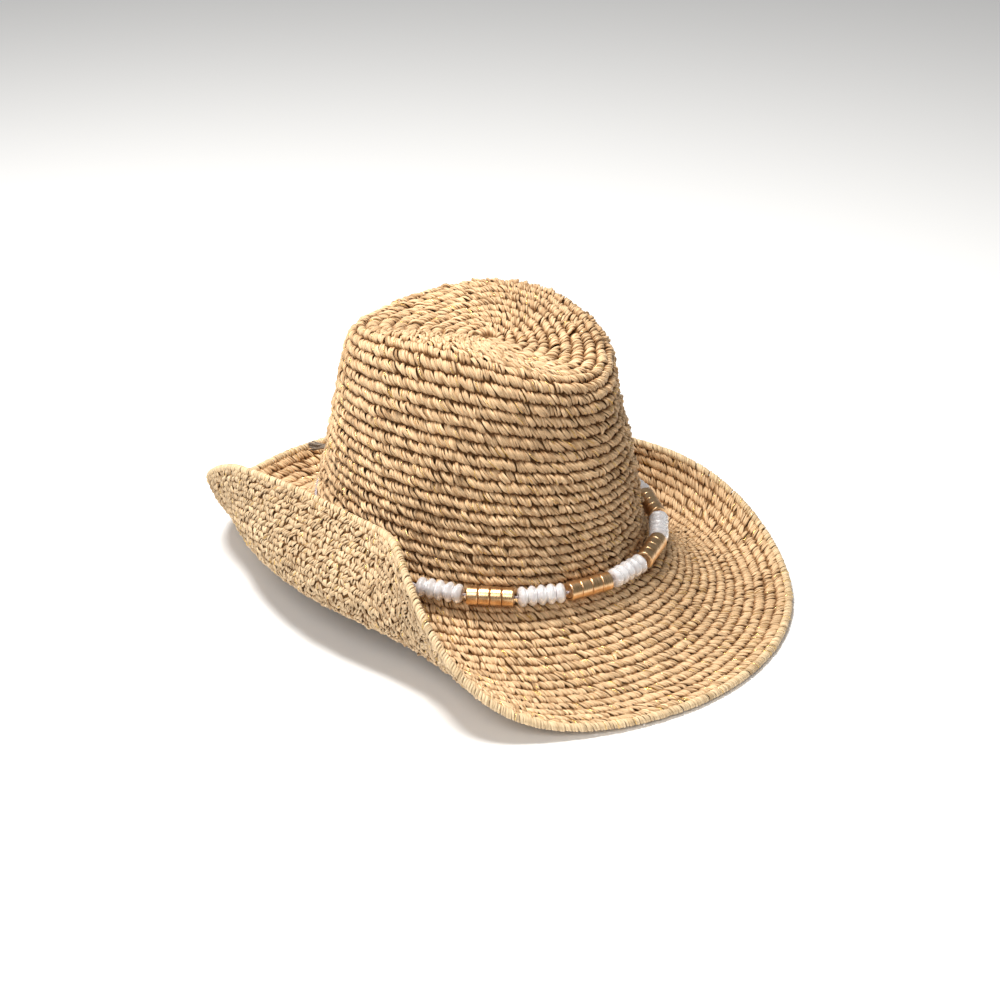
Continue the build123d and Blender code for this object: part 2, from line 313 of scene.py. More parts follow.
def gap_shade_sheet(name, col_a=(0.22, 0.115, 0.045), col_b=(0.09, 0.042, 0.016)):
    m, nt, bsdf = material(name)
    tc = nt.nodes.new("ShaderNodeTexCoord")
    n = nt.nodes.new("ShaderNodeTexNoise")
    n.inputs["Scale"].default_value = 420.0
    n.inputs["Detail"].default_value = 4.0
    link(nt, tc.outputs["Object"], n.inputs["Vector"])
    link(nt, ramp(nt, n.outputs["Fac"], [(0.35, col_b), (0.65, col_a)]), bsdf.inputs["Base Color"])
    bsdf.inputs["Roughness"].default_value = 0.85
    bsdf.inputs["Specular IOR Level"].default_value = 0.1
    b = nt.nodes.new("ShaderNodeBump")
    b.inputs["Strength"].default_value = 0.8
    b.inputs["Distance"].default_value = 0.0008
    link(nt, n.outputs["Fac"], b.inputs["Height"])
    link(nt, b.outputs["Normal"], bsdf.inputs["Normal"])
    return m


def gold_thread():
    m, nt, bsdf = material("gold_thread")
    tc = nt.nodes.new("ShaderNodeTexCoord")
    n = nt.nodes.new("ShaderNodeTexNoise")
    n.inputs["Scale"].default_value = 900.0
    link(nt, tc.outputs["Object"], n.inputs["Vector"])
    link(nt, ramp(nt, n.outputs["Fac"], [(0.35, (0.80, 0.46, 0.07)), (0.65, (1.0, 0.78, 0.28))]), bsdf.inputs["Base Color"])
    bsdf.inputs["Metallic"].default_value = 0.9
    bsdf.inputs["Roughness"].default_value = 0.22
    return m


# ---------------------------------------------------------------- mesh building
def new_mesh(name, verts, quads, uvs=None, attrs=None, smooth_shade=True):
    """verts in mm; quads (n, 4); uvs name -> (n, 4, 2); attrs name -> per-vertex value."""
    me = bpy.data.meshes.new(name)
    me.vertices.add(len(verts))
    me.vertices.foreach_set("co", (verts * MM).astype(np.float32).ravel())
    me.loops.add(quads.size)
    me.loops.foreach_set("vertex_index", quads.astype(np.int32).ravel())
    me.polygons.add(len(quads))
    me.polygons.foreach_set("loop_start", np.arange(0, quads.size, 4, dtype=np.int32))
    me.polygons.foreach_set("use_smooth", np.full(len(quads), smooth_shade))
    for k, arr in (uvs or {}).items():
        layer = me.uv_layers.new(name=k)
        layer.data.foreach_set("uv", arr.astype(np.float32).ravel())
    for k, arr in (attrs or {}).items():
        at = me.attributes.new(k, "FLOAT", "POINT")
        at.data.foreach_set("value", arr.astype(np.float32).ravel())
    me.update(calc_edges=True)
    ob = bpy.data.objects.new(name, me)
    bpy.context.scene.collection.objects.link(ob)
    return ob


def finish_piece(ob, mat, body, replaces=()):
    ob.data.materials.append(mat)
    if replaces:
        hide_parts(*replaces)
    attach(ob, body)
    return ob


def tubes(name, mid, nrm, w, th, rnd, lift, R=6, lobes=None):
    """Many short flattened tubes: mid and nrm (M, T, 3), half width w and half thickness th (M, T)."""
    M, T = mid.shape[:2]
    tan = np.gradient(mid, axis=1)
    tan /= np.linalg.norm(tan, axis=-1, keepdims=True) + 1e-12
    side = np.cross(tan, nrm)
    side /= np.linalg.norm(side, axis=-1, keepdims=True) + 1e-12
    up = np.cross(side, tan)
    a = np.arange(R) * 2 * math.pi / R
    verts = (
        mid[:, :, None, :]
        + side[:, :, None, :] * (w[:, :, None] * np.cos(a))[..., None]
        + up[:, :, None, :] * (th[:, :, None] * np.sin(a))[..., None]
    )
    idx = np.arange(M * T * R).reshape(M, T, R)
    nxt = np.roll(idx, -1, axis=2)
    quads = np.stack([idx[:, :-1], nxt[:, :-1], nxt[:, 1:], idx[:, 1:]], -1).reshape(-1, 4)
    r = np.arange(R)
    t = np.arange(T - 1)
    U = np.stack([r, r + 1, r + 1, r], -1) / R
    V0, V1 = t / (T - 1), (t + 1) / (T - 1)
    uv = np.empty((T - 1, R, 4, 2))
    uv[..., 0] = U[None]
    uv[:, :, 0, 1] = uv[:, :, 1, 1] = V0[:, None]
    uv[:, :, 2, 1] = uv[:, :, 3, 1] = V1[:, None]
    strand = np.broadcast_to(uv, (M, T - 1, R, 4, 2)).reshape(-1, 4, 2)
    G = int(math.ceil(math.sqrt(M)))
    cell = np.stack([np.arange(M) % G, np.arange(M) // G], -1).astype(float)
    bake = (cell[:, None, None, None, :] + 0.1 + 0.8 * uv[None]) / G
    return new_mesh(
        name,
        verts.reshape(-1, 3),
        quads,
        {"Strand": strand, "OFBake": bake.reshape(-1, 4, 2)},
        {"strand_random": np.repeat(rnd, T * R), "strand_lift": np.repeat(lift.reshape(-1), R)},
    )


rng = np.random.default_rng(20)


def wraps(surf, rows, width, slant, side=1.0, low=0.0, high=1.35, strands=2, w=1.15, th=0.85, T=8, over=1.22, chevron=False, jitter=1.0, skip=None):
    """Slanted raffia wraps along rows of a surface. Returns arrays for tubes()."""
    out = []
    t = np.linspace(0, 1, T)
    arch = np.sin(math.pi * t)
    for j, (v0, v1) in enumerate(rows):
        vc = (v0 + v1) / 2
        S = surf.row_length(vc)
        n = max(6, int(round(S[-1] / width)))
        step = S[-1] / n
        s0 = (np.arange(n) + 0.5 * (j % 2) + rng.normal(0, 0.09 * jitter, n)) * step
        wave = rng.normal(0, 1, n)
        fat = 1 + rng.normal(0, 0.11 * jitter, n)
        tall = 1 + rng.normal(0, 0.10 * jitter, n)
        lean = slant * (1 + rng.normal(0, 0.22 * jitter, n))
        if chevron:
            lean = slant * rng.uniform(0.15, 1.3, n) * rng.choice([-1.0, 1.0], n)
        vj = rng.normal(0, 0.05 * jitter, n) * (v1 - v0)
        for k in range(strands):
            lean_k = lean + rng.normal(0, 0.20 * jitter, n)
            vk = vj + rng.normal(0, 0.045 * jitter, n) * (v1 - v0)
            off = (k - (strands - 1) / 2) * step / strands * 0.92
            oj = rng.normal(0, 0.16 * jitter, n)
            s = s0[:, None] + lean_k[:, None] * (t - 0.5) * step + (off + oj)[:, None] * (0.55 + 0.45 * arch)
            s = s + 0.25 * wave[:, None] * np.sin(2 * math.pi * t)[None, :]
            ln = over * (1 + rng.normal(0, 0.05 * jitter, n))
            v = vc + vk[:, None] + (t - 0.5)[None, :] * (v1 - v0) * ln[:, None]
            hk = rng.normal(0, 0.15 * jitter, n)
            h = low + (high - low) * (tall * (1 + hk))[:, None] * arch[None, :] ** 0.52
            phi = np.interp(s % S[-1], S, PH)
            p, nr = surf.at(phi, v, side * h)
            taper = 0.52 + 0.48 * arch[None, :] ** 0.7
            ww = w * step / strands * fat[:, None] * taper
            tt = th * fat[:, None] * taper
            rn = np.clip(0.48 + rng.normal(0, 0.27, n), 0, 1)
            # arch ** 0.8 is stored as strand_lift, which the raffia material turns into painted shade at the wrap ends
            out.append((p, nr * side, ww, np.broadcast_to(tt, ww.shape), rn, np.broadcast_to(arch ** 0.8, (n, T)), np.full(n, j)))
    return out


def make_wraps(name, parts, mat, body, R=6, limit=2100):
    cat = [np.concatenate([p[i] for p in parts]) for i in range(7)]
    M, T = cat[0].shape[:2]
    pieces = max(1, int(math.ceil(M * (T - 1) * R * 2 / 185000.0)))
    # rows stay together
    cut = np.array_split(np.arange(M), pieces)
    obs = []
    for i, c in enumerate(cut):
        ob = tubes(f"{name}_{i + 1}", *(cat[k][c] for k in range(6)), R=R)
        obs.append(finish_piece(ob, mat, body))
    return obs, cat


def threads(name, cat, share, mat, body, lift=0.55, radius=0.17):
    """Fine metal threads that run on top of some wraps."""
    M, T = cat[0].shape[:2]
    pick = np.nonzero(rng.random(M) < share)[0]
    p, n, w, th = (cat[k][pick] for k in range(4))
    tan = np.gradient(p, axis=1)
    tan /= np.linalg.norm(tan, axis=-1, keepdims=True)
    sd = np.cross(tan, n)
    o = rng.uniform(-0.5, 0.5, len(pick))[:, None, None]
    ang = o * 1.6
    mid = p + sd * w[..., None] * np.sin(ang) + n * (th[..., None] * np.cos(ang) + 0.02)
    a, b = 1, T - 1
    mid, n = mid[:, a:b], n[:, a:b]
    k = mid.shape[1]
    r = np.full((len(pick), k), radius)
    ob = tubes(name, mid, n, r, r, rng.random(len(pick)), np.ones((len(pick), k)), R=4)
    return finish_piece(ob, mat, body)


def shell(name, surf, h0, h1, v0=0.0, v1=1.0, nphi=240, nv=60):
    """A closed thin sheet between two heights over a surface."""
    phi = np.linspace(-math.pi, math.pi, nphi + 1)[:-1]
    v = np.linspace(v0, v1, nv + 1)
    PHI, V = np.meshgrid(phi, v, indexing="ij")
    top, _ = surf.at(PHI, V, np.full(PHI.shape, h1))
    bot, _ = surf.at(PHI, V, np.full(PHI.shape, h0))
    verts = np.concatenate([top.reshape(-1, 3), bot.reshape(-1, 3)])
    K = nphi * (nv + 1)
    idx = np.arange(K).reshape(nphi, nv + 1)
    nx = np.roll(idx, -1, axis=0)
    q = np.stack([idx[:, :-1], nx[:, :-1], nx[:, 1:], idx[:, 1:]], -1).reshape(-1, 4)
    qb = q[:, ::-1] + K
    rim0 = np.stack([idx[:, 0], idx[:, 0] + K, nx[:, 0] + K, nx[:, 0]], -1)
    rim1 = np.stack([idx[:, -1], nx[:, -1], nx[:, -1] + K, idx[:, -1] + K], -1)
    quads = np.concatenate([q, qb, rim0, rim1])
    uv = np.zeros((len(quads), 4, 2))
    i = np.arange(nphi)
    jj = np.arange(nv)
    A, Bv = np.meshgrid(i, jj, indexing="ij")
    base = np.stack([np.stack([A, Bv], -1), np.stack([A + 1, Bv], -1), np.stack([A + 1, Bv + 1], -1), np.stack([A, Bv + 1], -1)], 2).reshape(-1, 4, 2)
    base = base / np.array([nphi, nv])
    n = len(q)
    uv[:n] = base * [0.98, 0.46] + [0.01, 0.01]
    uv[n : 2 * n] = base[:, ::-1] * [0.98, 0.46] + [0.01, 0.49]
    st = np.stack([i, i, i + 1, i + 1], -1) / nphi * 0.98 + 0.01
    uv[2 * n : 2 * n + nphi, :, 0] = st
    uv[2 * n : 2 * n + nphi, :, 1] = [0.96, 0.97, 0.97, 0.96]
    uv[2 * n + nphi :, :, 0] = np.stack([i, i + 1, i + 1, i], -1) / nphi * 0.98 + 0.01
    uv[2 * n + nphi :, :, 1] = [0.98, 0.98, 0.99, 0.99]
    return new_mesh(name, verts, quads, {"OFBake": uv})


M_CROWN = raffia("raffia_crown", patch=0.55)
M_BRIM = raffia("raffia_brim", patch=0.25)
M_UNDER = raffia("raffia_underside", light=(0.74, 0.56, 0.35), mid=(0.60, 0.43, 0.255), dark=(0.46, 0.31, 0.17), patch=0.30)
M_EDGE = raffia("raffia_edge", light=(0.76, 0.58, 0.36), mid=(0.64, 0.46, 0.26), dark=(0.5, 0.34, 0.17), patch=0.15)
# a darker copy of the crown raffia for the crown's inner face: painted shade of the hollow inside the crown
M_INSIDE = raffia("raffia_inside", light=(0.60, 0.43, 0.25), mid=(0.48, 0.32, 0.17))
# dark sheet colour: painted shade seen in the gaps between the wraps
M_GAP_SHADE = gap_shade_sheet("raffia_gap_shade_sheet")
M_GOLD = gold_thread()


def row_edges(lo, hi, total, p0, p1):
    """Row edges between lo and hi of a surface total mm long, pitch going from p0 to p1."""
    n = max(1, int(round((hi - lo) * total / ((p0 + p1) / 2))))
    wgt = np.linspace(p0, p1, n)
    e = np.concatenate([[0], np.cumsum(wgt)]) / wgt.sum() * (hi - lo) + lo
    return list(zip(e[:-1], e[1:]))


# ---------------------------------------------------------------- crown side
crown_len = 146.0
crown_rows = row_edges(0.015, 1.0, crown_len, 6.0, 7.6)
# the dark sheet under the crown wraps is painted shade in the gaps between them
finish_piece(shell("crown_gap_shade_sheet", crown_out, -3.0, -1.9), M_GAP_SHADE, "hat", ["crown_side"])
obs, cat = make_wraps("crown_crochet", wraps(crown_out, crown_rows, 3.7, -1.35, low=-3.0, high=0.45, strands=3, w=0.66, th=0.78, T=7, over=1.05), M_CROWN, "hat", R=5)
threads("crown_gold_threads", cat, 0.07, M_GOLD, "hat")
obs, cat = make_wraps("crown_inside", wraps(crown_out, crown_rows[1:], 4.6, 0.8, side=-1.0, low=2.9, high=3.6, strands=1, w=0.52, th=0.75, T=6), M_INSIDE, "hat", R=5)

# ---------------------------------------------------------------- crown tip
tip_rows = row_edges(0.0, 0.93, 64.0, 7.2, 6.2)
# the dark sheet under the tip wraps is painted shade in the gaps between them
finish_piece(shell("tip_gap_shade_sheet", tip_top, -3.0, -1.9, 0.0, 1.0, 200, 40), M_GAP_SHADE, "hat", ["crown_tip"])
parts = wraps(tip_top, tip_rows, 3.7, -1.35, low=-2.9, high=0.45, strands=3, w=0.66, th=0.78, T=7, over=1.06)
obs, cat = make_wraps("tip_crochet", parts, M_CROWN, "hat", R=5)
threads("tip_gold_threads", cat, 0.05, M_GOLD, "hat")
make_wraps("tip_inside", wraps(tip_top, tip_rows, 4.6, 0.8, side=-1.0, low=2.9, high=3.6, strands=1, w=0.52, th=0.75, T=6), M_INSIDE, "hat", R=5)

# ---------------------------------------------------------------- brim, both sides
brim_len = Q["W"] - BIND_R
brim_rows = row_edges(0.0, 0.985, brim_len, 5.0, 6.4)
# the dark sheet inside the brim is painted shade in the gaps between its wraps
finish_piece(shell("brim_gap_shade_sheet", brim_mid, -0.5, 0.5, 0.0, 0.99), M_GAP_SHADE, "hat", ["brim"])
obs, cat = make_wraps("brim_crochet", wraps(brim_mid, brim_rows, 3.5, 1.25, low=-0.2, high=1.6, strands=3, w=0.64, th=0.74, T=7, over=1.13), M_BRIM, "hat", R=5)
threads("brim_gold_threads", cat, 0.06, M_GOLD, "hat")
under_rows = row_edges(0.0, 0.985, brim_len, 3.4, 3.6)
obs, cat = make_wraps(
    "brim_underside", wraps(brim_mid, under_rows, 3.2, 0.9, side=-1.0, low=0.0, high=1.4, strands=2, w=0.50, th=0.66, T=5, over=1.35, chevron=True, jitter=1.5), M_UNDER, "hat", R=5
)
threads("underside_gold_threads", cat, 0.05, M_GOLD, "hat")

# ---------------------------------------------------------------- edge binding
def edge_wraps():
    S = brim_mid.row_length(1.0)
    n = int(S[-1] / 3.3)
    T = 9
    out = []
    for k in range(2):
        s0 = (np.arange(n) + 0.5 * k + rng.normal(0, 0.08, n)) * S[-1] / n
        ang = np.linspace(-0.62, 1.62, T) * math.pi - math.pi / 2 * 0
        ang = np.linspace(math.pi * 0.93, -math.pi * 0.93, T)
        s = s0[:, None] + np.linspace(-1.9, 1.9, T)[None, :] * (1 + rng.normal(0, 0.2, n))[:, None]
        phi = np.interp(s % S[-1], S, PH)
        c, nr = brim_mid.at(phi, np.ones_like(phi), np.zeros_like(phi))
        c0, _ = brim_mid.at(phi, np.ones_like(phi) * 0.98, np.zeros_like(phi))
        out_dir = c - c0
        out_dir /= np.linalg.norm(out_dir, axis=-1, keepdims=True)
        rad = (BIND_R - 0.55) * (1 + rng.normal(0, 0.06, n))[:, None, None]
        stretch = 1 + 0.9 * (np.abs(ang) > math.pi / 2) * (np.abs(ang) / math.pi - 0.5)
        radial = out_dir * (np.cos(ang) * stretch)[None, :, None] + nr * np.sin(ang)[None, :, None]
        p = c + radial * rad
        rn = radial / np.linalg.norm(radial, axis=-1, keepdims=True)
        arch = np.sin(np.linspace(0, math.pi, T))
        ww = np.broadcast_to(0.95 * (0.7 + 0.3 * arch), (n, T)) * (1 + rng.normal(0, 0.1, n))[:, None]
        tt = np.full((n, T), 0.62)
        # strand_lift here drives painted shade at the binding's wrap ends, where they tuck round the brim edge
        lift = np.broadcast_to(np.clip(arch * 1.6 + 0.25, 0, 1), (n, T))
        out.append((p, rn, ww, tt, np.clip(0.55 + rng.normal(0, 0.2, n), 0, 1), lift, np.full(n, k)))
    return out


obs, cat = make_wraps("edge_binding", edge_wraps(), M_EDGE, "hat")
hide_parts("brim_edge_binding")
threads("edge_gold_threads", cat, 0.06, M_GOLD, "hat")


# ---------------------------------------------------------------- sweatband and its stitching
def cloth():
    m, nt, bsdf = material("sweatband_cloth")
    tc = nt.nodes.new("ShaderNodeTexCoord")
    w1 = nt.nodes.new("ShaderNodeTexNoise")
    w1.inputs["Scale"].default_value = 60.0
    link(nt, tc.outputs["Object"], w1.inputs["Vector"])
    mp = nt.nodes.new("ShaderNodeMapping")
    mp.inputs["Scale"].default_value = (1.0, 1.0, 2.2)
    link(nt, tc.outputs["Object"], mp.inputs["Vector"])
    vor = nt.nodes.new("ShaderNodeTexVoronoi")
    vor.inputs["Scale"].default_value = 900.0
    vor.inputs["Randomness"].default_value = 0.35
    link(nt, mp.outputs["Vector"], vor.inputs["Vector"])
    base = ramp(nt, w1.outputs["Fac"], [(0.3, (0.62, 0.51, 0.36)), (0.7, (0.74, 0.63, 0.47))])
    weave = ramp(nt, vor.outputs["Distance"], [(0.1, (1.05, 1.05, 1.05)), (0.7, (0.62, 0.60, 0.56))])
    link(nt, mix(nt, base, weave, 0.8, "MULTIPLY"), bsdf.inputs["Base Color"])
    bsdf.inputs["Roughness"].default_value = 0.9
    bsdf.inputs["Sheen Weight"].default_value = 0.15
    b = nt.nodes.new("ShaderNodeBump")
    b.inputs["Strength"].default_value = 0.6
    b.inputs["Distance"].default_value = 0.0004
    b.invert = True
    link(nt, vor.outputs["Distance"], b.inputs["Height"])
    link(nt, b.outputs["Normal"], bsdf.inputs["Normal"])
    return m


M_CLOTH = cloth()
for ob in (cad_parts["sweatband"],):
    ob.data.materials.clear()
    ob.data.materials.append(M_CLOTH)


def crown_frame(phi):
    base, top = ring(phi), ridge(phi)
    d = top[..., :2] - base[..., :2]
    d = d / np.linalg.norm(d, axis=-1, keepdims=True)
    c, s = np.cos(phi), np.sin(phi)
    lean = Q["c_f"] * np.clip(c, 0, 1) ** 2 + Q["c_b"] * np.clip(-c, 0, 1) ** 2 + Q["c_s"] * s * s
    k = lean / (top[..., 2] - base[..., 2])
    return base, np.concatenate([d, 0 * d[..., :1]], -1), k


def stitches():
    n = 170
    T = 6
    t = np.linspace(0, 1, T)
    phi = (np.arange(n)[:, None] + 0.14 + 0.62 * t[None, :]) * 2 * math.pi / n
    base, d, k = crown_frame(phi)
    arch = np.sin(math.pi * t)[None, :]
    inn = 4.0 + 0.5 + 1.2 + 3.0 * k + 0.05 + 0.42 * arch
    p = base + d * inn[..., None]
    p[..., 2] += 3.0
    r = np.full((n, T), 0.33)
    return tubes("sweatband_stitches", p, d, r, r, rng.random(n), np.ones((n, T)), R=6)


def thread_material(name, a, b):
    m, nt, bsdf = material(name)
    tc = nt.nodes.new("ShaderNodeTexCoord")
    wv = nt.nodes.new("ShaderNodeTexNoise")
    wv.inputs["Scale"].default_value = 1500.0
    wv.inputs["Detail"].default_value = 3.0
    link(nt, tc.outputs["Object"], wv.inputs["Vector"])
    link(nt, ramp(nt, wv.outputs["Fac"], [(0.35, a), (0.65, b)]), bsdf.inputs["Base Color"])
    bsdf.inputs["Roughness"].default_value = 0.75
    bsdf.inputs["Sheen Weight"].default_value = 0.2
    bp = nt.nodes.new("ShaderNodeBump")
    bp.inputs["Strength"].default_value = 0.6
    bp.inputs["Distance"].default_value = 0.0002
    link(nt, wv.outputs["Fac"], bp.inputs["Height"])
    link(nt, bp.outputs["Normal"], bsdf.inputs["Normal"])
    return m


M_THREAD = thread_material("sweatband_thread", (0.55, 0.44, 0.30), (0.78, 0.68, 0.52))
finish_piece(stitches(), M_THREAD, "hat", ["sweatband_stitching"])

# ---------------------------------------------------------------- beads
BAND_OUT, BAND_UP, GROUP_LEN, GROUP_GAP, COUNT = 9.4, 6.8, 28.4, 2.2, 9
KNOT_R = 3.2


def band_pt(phi, out=BAND_OUT, up=BAND_UP):
    phi = np.asarray(phi, float)
    return ring(phi) + outward(phi) * out + np.array([0, 0, up])


def next_phi(phi, chord, sign):
    lo, hi = 0.0, 40 * D
    start = band_pt(phi)
    for _ in range(50):
        m = (lo + hi) / 2
        if np.linalg.norm(band_pt(phi + sign * m) - start) < chord:
            lo = m
        else:
            hi = m
    return phi + sign * (lo + hi) / 2


def band_corners():
    c = -5.3 * D
    lo, hi = 0.0, 40 * D
    for _ in range(50):
        m = (lo + hi) / 2
        if np.linalg.norm(band_pt(c + m) - band_pt(c - m)) < GROUP_LEN:
            lo = m
        else:
            hi = m
    right, left = [c - lo], [c + lo]
    for _ in range(COUNT // 2):
        right.append(next_phi(right[-1], GROUP_LEN, -1))
        left.append(next_phi(left[-1], GROUP_LEN, 1))
    return right[::-1] + left


corner_phis = band_corners()
corners = [band_pt(p) for p in corner_phis]


def quartz_material():
    m, nt, bsdf = material("frosted_quartz")
    tc = nt.nodes.new("ShaderNodeTexCoord")
    n = nt.nodes.new("ShaderNodeTexNoise")
    n.inputs["Scale"].default_value = 210.0
    n.inputs["Detail"].default_value = 5.0
    n.inputs["Distortion"].default_value = 0.8
    link(nt, tc.outputs["Object"], n.inputs["Vector"])
    link(nt, ramp(nt, n.outputs["Fac"], [(0.3, (0.84, 0.80, 0.82)), (0.55, (0.95, 0.93, 0.94)), (0.75, (1.0, 1.0, 1.0))]), bsdf.inputs["Base Color"])
    bsdf.inputs["Roughness"].default_value = 0.30
    bsdf.inputs["IOR"].default_value = 1.5
    bsdf.inputs["Transmission Weight"].default_value = 0.42
    bsdf.inputs["Subsurface Weight"].default_value = 0.35
    bsdf.inputs["Subsurface Radius"].default_value = (0.003, 0.003, 0.003)
    bsdf.inputs["Subsurface Scale"].default_value = 1.0
    n2 = nt.nodes.new("ShaderNodeTexNoise")
    n2.inputs["Scale"].default_value = 900.0
    n2.inputs["Detail"].default_value = 4.0
    link(nt, tc.outputs["Object"], n2.inputs["Vector"])
    b = nt.nodes.new("ShaderNodeBump")
    b.inputs["Strength"].default_value = 0.35
    b.inputs["Distance"].default_value = 0.0003
    link(nt, n2.outputs["Fac"], b.inputs["Height"])
    link(nt, b.outputs["Normal"], bsdf.inputs["Normal"])
    return m


def gold_material():
    m, nt, bsdf = material("brushed_gold")
    uv = nt.nodes.new("ShaderNodeUVMap")
    uv.uv_map = "Bead"
    mp = nt.nodes.new("ShaderNodeMapping")
    mp.inputs["Scale"].default_value = (3.0, 60.0, 1.0)
    link(nt, uv.outputs["UV"], mp.inputs["Vector"])
    n = nt.nodes.new("ShaderNodeTexNoise")
    n.inputs["Scale"].default_value = 1.0
    n.inputs["Detail"].default_value = 3.0
    link(nt, mp.outputs["Vector"], n.inputs["Vector"])
    tc = nt.nodes.new("ShaderNodeTexCoord")
    n2 = nt.nodes.new("ShaderNodeTexNoise")
    n2.inputs["Scale"].default_value = 160.0
    n2.inputs["Detail"].default_value = 3.0
    link(nt, tc.outputs["Object"], n2.inputs["Vector"])
    col = ramp(nt, n2.outputs["Fac"], [(0.3, (0.64, 0.38, 0.18)), (0.6, (0.88, 0.60, 0.34))])
    col = mix(nt, col, ramp(nt, n.outputs["Fac"], [(0.3, (0.80, 0.78, 0.74)), (0.7, (1.1, 1.1, 1.1))]), 0.7, "MULTIPLY")
    link(nt, col, bsdf.inputs["Base Color"])
    bsdf.inputs["Metallic"].default_value = 1.0
    rr = ramp(nt, n.outputs["Fac"], [(0.3, (0.24, 0.24, 0.24)), (0.7, (0.38, 0.38, 0.38))])
    link(nt, rr, bsdf.inputs["Roughness"])
    b = nt.nodes.new("ShaderNodeBump")
    b.inputs["Strength"].default_value = 0.25
    b.inputs["Distance"].default_value = 0.0002
    link(nt, n.outputs["Fac"], b.inputs["Height"])
    link(nt, b.outputs["Normal"], bsdf.inputs["Normal"])
    return m


M_QUARTZ, M_GBEAD = quartz_material(), gold_material()


def bead_group(i):
    a, b = corners[i], corners[i + 1]
    e = (b - a) / np.linalg.norm(b - a)
    mid = (a + b) / 2
    f = np.cross(e, [0, 0, 1.0])
    f /= np.linalg.norm(f)
    g = np.cross(f, e)
    quartz = i % 2 == 0
    n = 5 if quartz else 4
    pitch = (GROUP_LEN - GROUP_GAP) / n
    R = 40
    V, F, UV = [], [], []
    base = 0
    for k in range(n):
        x0 = (k - (n - 1) / 2) * pitch
        h = (pitch - 0.12) / 2
        if quartz:
            ro = 5.85
            prof = []
            for s in np.linspace(-1, 1, 13):
                prof.append((s * h, ro * (1 - 0.36 * abs(s) ** 1.9)))
            prof = [(-h, 1.0), (-h * 1.0, 2.6)] + prof + [(h, 2.6), (h, 1.0)]
        else:
            ro = 5.38
            c = 0.5
            prof = [(-h, 1.0), (-h, ro - 1.3), (-h, ro - c), (-h + c * 0.3, ro - c * 0.3), (-h + c, ro)]
            prof += [(s * (h - c), ro + 0.0) for s in np.linspace(-0.8, 0.8, 6)]
            prof += [(h - c, ro), (h - c * 0.3, ro - c * 0.3), (h, ro - c), (h, ro - 1.3), (h, 1.0)]
        prof = np.array(prof)
        K = len(prof)
        ang = np.arange(R) * 2 * math.pi / R
        X = np.repeat((prof[:, 0] + x0)[:, None], R, 1)
        rad = np.repeat(prof[:, 1][:, None], R, 1)
        if quartz:
            ph = rng.uniform(0, 2 * math.pi, 6)
            wob = 0.030 * np.cos(3 * ang + ph[0]) + 0.022 * np.cos(5 * ang + ph[1]) + 0.014 * np.cos(9 * ang + ph[2])
            rad = rad * (1 - np.abs(wob)[None, :] * (rad > 3) - 0.02 * rng.random() )
            X = X + 0.22 * np.cos(2 * ang + ph[3])[None, :] * (np.abs(prof[:, 0]) < h * 0.99)[:, None]
        pts = mid + e * X[..., None] + f * (rad * np.cos(ang)[None, :])[..., None] + g * (rad * np.sin(ang)[None, :])[..., None]
        idx = np.arange(K * R).reshape(K, R) + base
        nx = np.roll(idx, -1, axis=1)
        q = np.stack([idx[:-1], nx[:-1], nx[1:], idx[1:]], -1).reshape(-1, 4)
        inner = np.stack([idx[-1], nx[-1], nx[0], idx[0]], -1)
        V.append(pts.reshape(-1, 3))
        F.append(q)
        F.append(inner)
        r = np.arange(R)
        U = np.stack([r, r + 1, r + 1, r], -1) / R
        kk = np.arange(K - 1)
        uv = np.empty((K, R, 4, 2))
        uv[..., 0] = U[None] + k * 1.37
        vv = np.arange(K + 1) / K
        uv[:, :, 0, 1] = uv[:, :, 1, 1] = vv[:-1][:, None]
        uv[:, :, 2, 1] = uv[:, :, 3, 1] = vv[1:][:, None]
        UV.append(uv.reshape(-1, 4, 2))
        base += K * R
    verts, quads, uvs = np.concatenate(V), np.concatenate(F), np.concatenate(UV)
    name = ("quartz_beads_" if quartz else "gold_beads_") + str(i // 2 + 1)
    ob = new_mesh(name + "_look", verts, quads, {"Bead": uvs})
    finish_piece(ob, M_QUARTZ if quartz else M_GBEAD, name, [name])


for i in range(COUNT):
    bead_group(i)


# ---------------------------------------------------------------- hatband cord, knot and frayed ends
def resample(p, step):
    p = np.asarray(p)
    d = np.concatenate([[0], np.cumsum(np.linalg.norm(np.diff(p, axis=0), axis=1))])
    n = int(d[-1] / step)
    s = np.linspace(0, d[-1], n + 1)
    return np.stack([np.interp(s, d, p[:, a]) for a in range(3)], -1), s


def soften(p, n):
    for _ in range(n):
        p[1:-1] = p[1:-1] * 0.5 + (p[:-2] + p[2:]) * 0.25
    return p


def twisted(path, step, off, radius, turn, plies, name, R=6):
    p, s = resample(path, step)
    p = soften(p, 6)
    tan = np.gradient(p, axis=0)
    tan /= np.linalg.norm(tan, axis=1, keepdims=True)
    up = np.array([0, 0, 1.0]) - tan * tan[:, 2:3]
    up /= np.linalg.norm(up, axis=1, keepdims=True)
    sd = np.cross(tan, up)
    mids, nrm = [], []
    for k in range(plies):
        a = s / turn * 2 * math.pi + k * 2 * math.pi / plies
        o = sd * np.cos(a)[:, None] + up * np.sin(a)[:, None]
        mids.append(p + o * off)
        nrm.append(o)
    mid, nrm = np.stack(mids), np.stack(nrm)
    r = np.full(mid.shape[:2], radius)
    return tubes(name, mid, nrm, r, r, np.linspace(0.2, 0.8, plies), np.ones(mid.shape[:2]), R=R)


